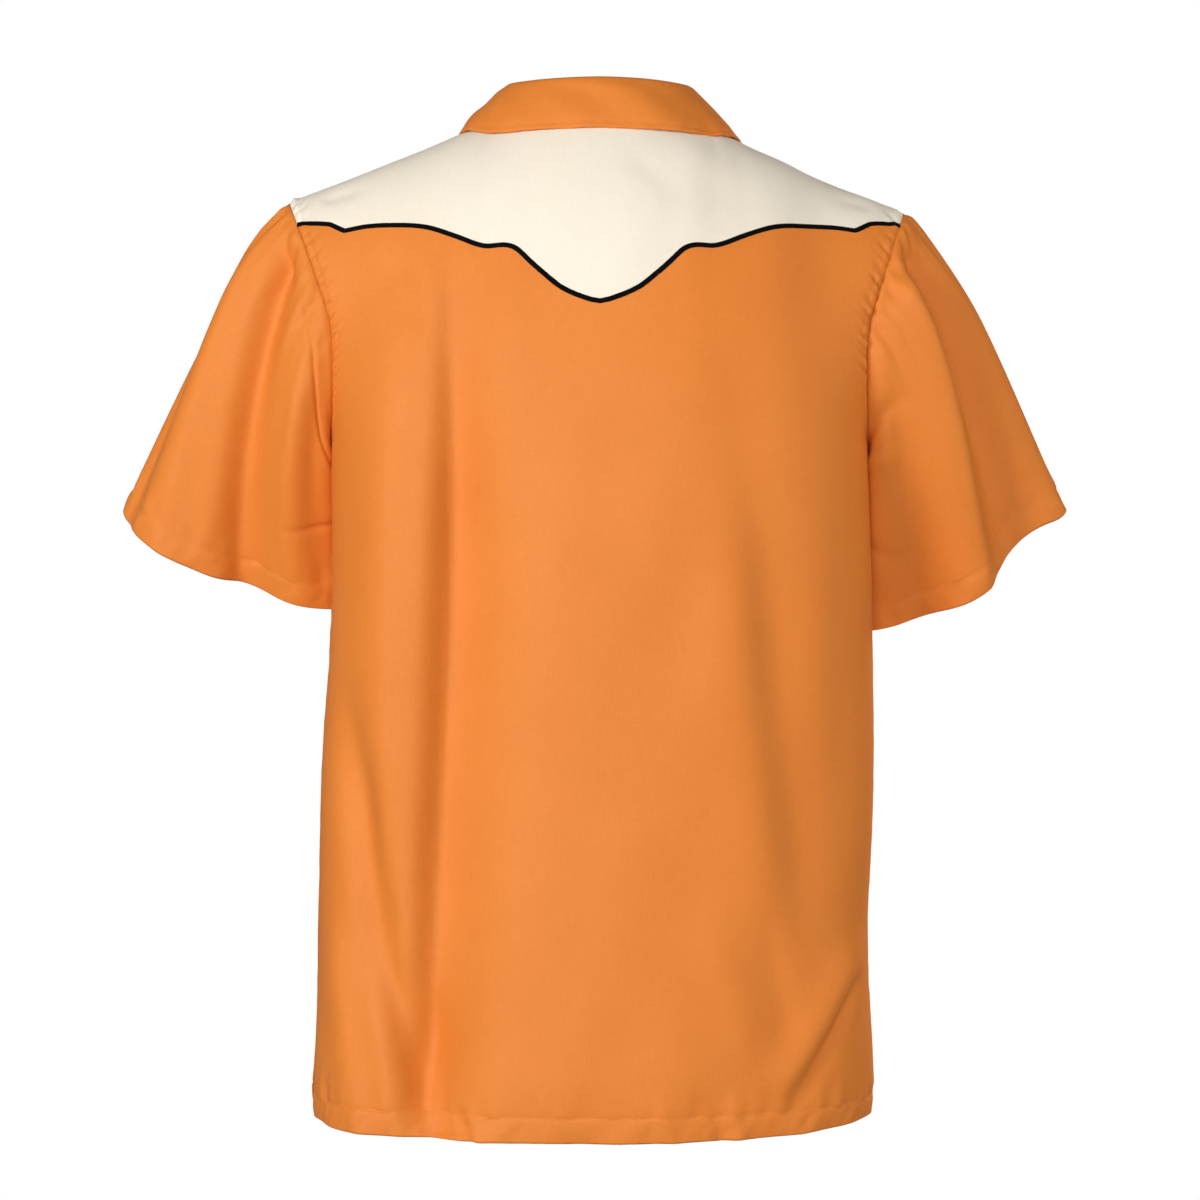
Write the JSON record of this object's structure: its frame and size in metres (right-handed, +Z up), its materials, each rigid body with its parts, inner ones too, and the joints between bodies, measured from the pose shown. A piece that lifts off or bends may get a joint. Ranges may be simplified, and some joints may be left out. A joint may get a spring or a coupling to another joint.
{
  "type": "hawaiian shirt",
  "caption": "Short-sleeved camp shirt, filled out as worn with no wearer: open collar, buttoned front, side vents, and a pale western back yoke edged with dark piping.",
  "frame": {"origin": "midway between the two neck points, where the wearer's shoulders and neck hold the shirt up", "axes": "+Z up, the wearer faces -Y, and the wearer's left is +X"},
  "size_m": [0.7094, 0.2587, 0.7625],
  "materials": {
    "orange_cotton": "orange plain-woven cotton, matte with a faint sheen",
    "cream_cotton": "cream plain-woven cotton, matte",
    "black_piping": "black flat woven tape, matte",
    "orange_button": "dyed polyester, polished"
  },
  "bodies": {
    "root": {"back": "orange_cotton", "back_yoke": "cream_cotton", "yoke_piping": "black_piping", "sleeve_left": "orange_cotton", "sleeve_right": "orange_cotton", "collar": "orange_cotton", "front_left": "orange_cotton", "front_right": "orange_cotton", "lapel_left": "orange_cotton", "lapel_right": "orange_cotton", "button_1": "orange_button", "button_2": "orange_button", "button_3": "orange_button", "button_4": "orange_button", "button_5": "orange_button"}
  },
  "joints": []
}
